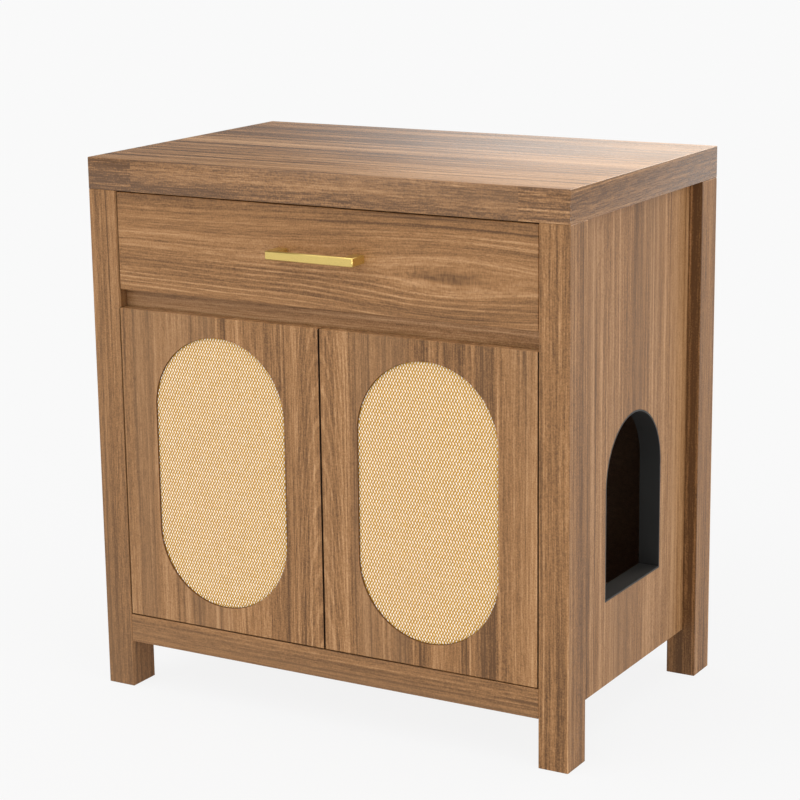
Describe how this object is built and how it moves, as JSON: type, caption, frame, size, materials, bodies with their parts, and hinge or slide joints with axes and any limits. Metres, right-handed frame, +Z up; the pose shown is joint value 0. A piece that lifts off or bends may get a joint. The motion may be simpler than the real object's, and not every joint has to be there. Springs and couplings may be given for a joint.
{
  "type": "cat litter box cabinet",
  "caption": "Wooden cabinet that hides a cat litter box: arched side entry with a dark liner, hinged doors with woven oval inlays, and a drawer with a square bar pull under a thick top.",
  "frame": {"origin": "on the floor, under the middle of the bounding box, drawer pull included", "axes": "+Z up, -Y towards someone who faces the doors, +X to that person's right, towards the side with the entry"},
  "size_m": [0.8, 0.535, 0.828],
  "materials": {
    "laminate": "satin wood-grain foil on board",
    "drawer_board": "matte wood-grain foil on board",
    "thin_board": "matte wood-grain foil on hardboard",
    "woven_inlay": "matte woven rattan",
    "pull_metal": "satin",
    "liner_plastic": "matte",
    "catch_plastic": "matte",
    "steel": "zinc plated",
    "beech": "bare"
  },
  "bodies": {
    "cabinet": {"back_bottom_rail": "laminate", "back_left_leg": "laminate", "back_panel": "thin_board", "back_panel_screws": "steel", "back_right_leg": "laminate", "back_top_rail": "laminate", "bottom_board": "laminate", "cam_bolts": "steel", "cam_locks": "steel", "catch_screws": "steel", "divider_shelf": "laminate", "door_catches": "catch_plastic", "dowels": "beech", "entry_liner": "liner_plastic", "front_bottom_rail": "laminate", "front_left_leg": "laminate", "front_right_leg": "laminate", "hinge_screws": "steel", "left_hinge_arms": "steel", "left_side_panel": "laminate", "left_slide_channel": "steel", "left_slide_spacer": "laminate", "liner_screws": "steel", "mid_rail": "laminate", "right_hinge_arms": "steel", "right_side_panel": "laminate", "right_slide_channel": "steel", "right_slide_spacer": "laminate", "slide_screws": "steel", "top_back_lip": "laminate", "top_board": "laminate", "top_front_lip": "laminate", "top_left_lip": "laminate", "top_right_lip": "laminate"},
    "left_door": {"left_cup_screws": "steel", "left_door_leaf": "laminate", "left_hinge_cups": "steel", "left_hinge_pins": "steel", "left_rattan_inlay": "woven_inlay", "left_strike_plate": "steel"},
    "right_door": {"right_cup_screws": "steel", "right_door_leaf": "laminate", "right_hinge_cups": "steel", "right_hinge_pins": "steel", "right_rattan_inlay": "woven_inlay", "right_strike_plate": "steel"},
    "drawer": {"drawer_back": "drawer_board", "drawer_bottom": "thin_board", "drawer_box_screws": "steel", "drawer_front": "laminate", "drawer_left_side": "drawer_board", "drawer_pull": "pull_metal", "drawer_rail_screws": "steel", "drawer_right_side": "drawer_board", "left_slide_rail": "steel", "pull_screws": "steel", "right_slide_rail": "steel"},
    "left_slide_member": {"left_slide_middle": "steel"},
    "right_slide_member": {"right_slide_middle": "steel"}
  },
  "joints": [
    {"name": "left_door_hinge", "type": "hinge", "parent": "cabinet", "child": "left_door", "pos_m": [-0.3418, -0.2317, 0.3615], "axis": [0, 0, -1], "range_deg": [0, 95]},
    {"name": "right_door_hinge", "type": "hinge", "parent": "cabinet", "child": "right_door", "pos_m": [0.3418, -0.2317, 0.3615], "axis": [0, 0, 1], "range_deg": [0, 95]},
    {"name": "drawer_slide", "type": "slide", "parent": "cabinet", "child": "drawer", "axis": [0, -1, 0], "range_m": [0, 0.35]},
    {"name": "left_middle_slide", "type": "slide", "parent": "cabinet", "child": "left_slide_member", "axis": [0, -1, 0], "range_m": [0, 0.175]},
    {"name": "right_middle_slide", "type": "slide", "parent": "cabinet", "child": "right_slide_member", "axis": [0, -1, 0], "range_m": [0, 0.175]}
  ],
  "couplings": [
    {"joint": "left_middle_slide", "follows": "drawer_slide", "ratio": 0.5},
    {"joint": "right_middle_slide", "follows": "drawer_slide", "ratio": 0.5}
  ]
}
